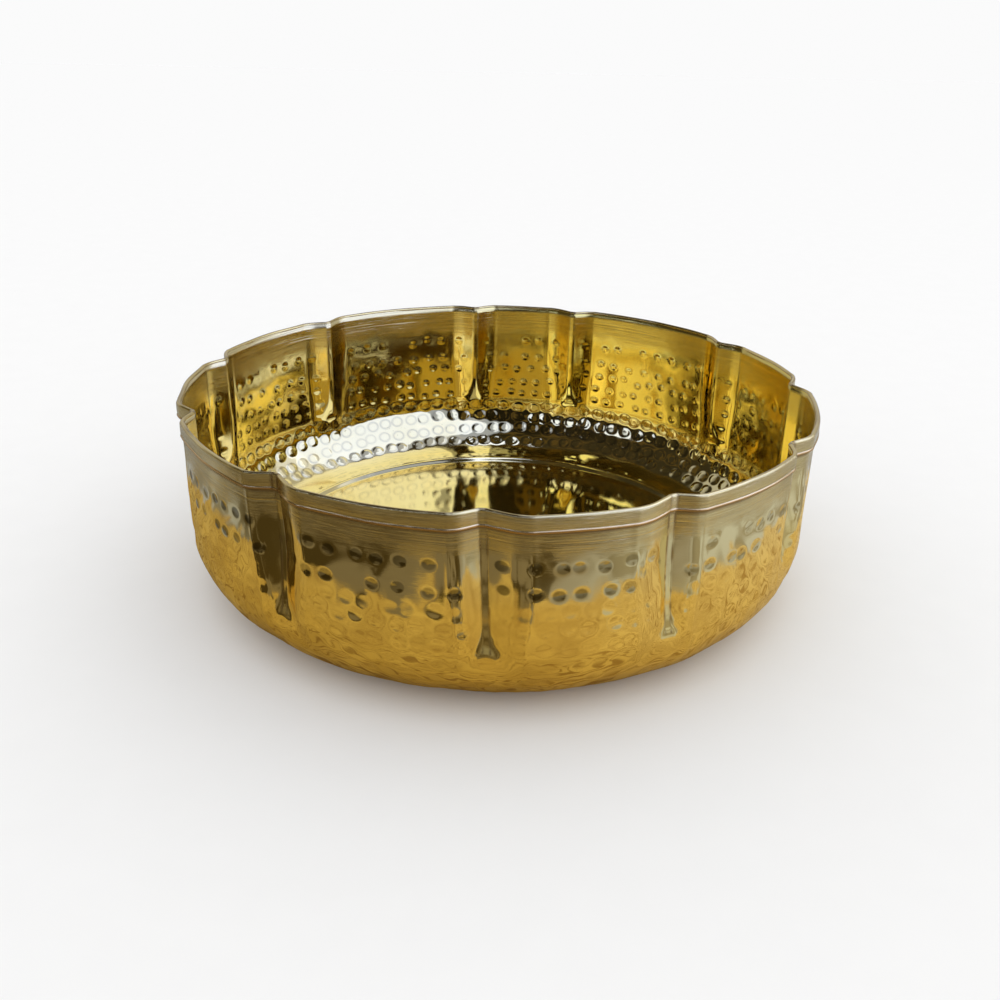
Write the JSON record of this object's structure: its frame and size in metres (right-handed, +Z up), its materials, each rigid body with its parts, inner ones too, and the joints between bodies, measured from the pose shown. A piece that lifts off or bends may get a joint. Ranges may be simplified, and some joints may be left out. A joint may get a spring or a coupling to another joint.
{
  "type": "urli bowl",
  "caption": "Round hammered sheet-brass bowl with upright wall, pinched vertical flutes, banded rim, rounded knuckle and flat polished floor.",
  "frame": {"origin": "centre of the flat face that the bowl stands on", "axes": "+Z up the bowl's axis, towards the rim; +Y away from a person who looks at its front; +X to that person's right"},
  "size_m": [0.2539, 0.2539, 0.078],
  "materials": {
    "hammered_brass": "polished, hammered on the wall and knuckle",
    "brushed_brass": "polished over fine marks that run round the rim"
  },
  "bodies": {
    "root": {"bowl_shell": "hammered_brass", "rim_band": "brushed_brass"}
  },
  "joints": []
}
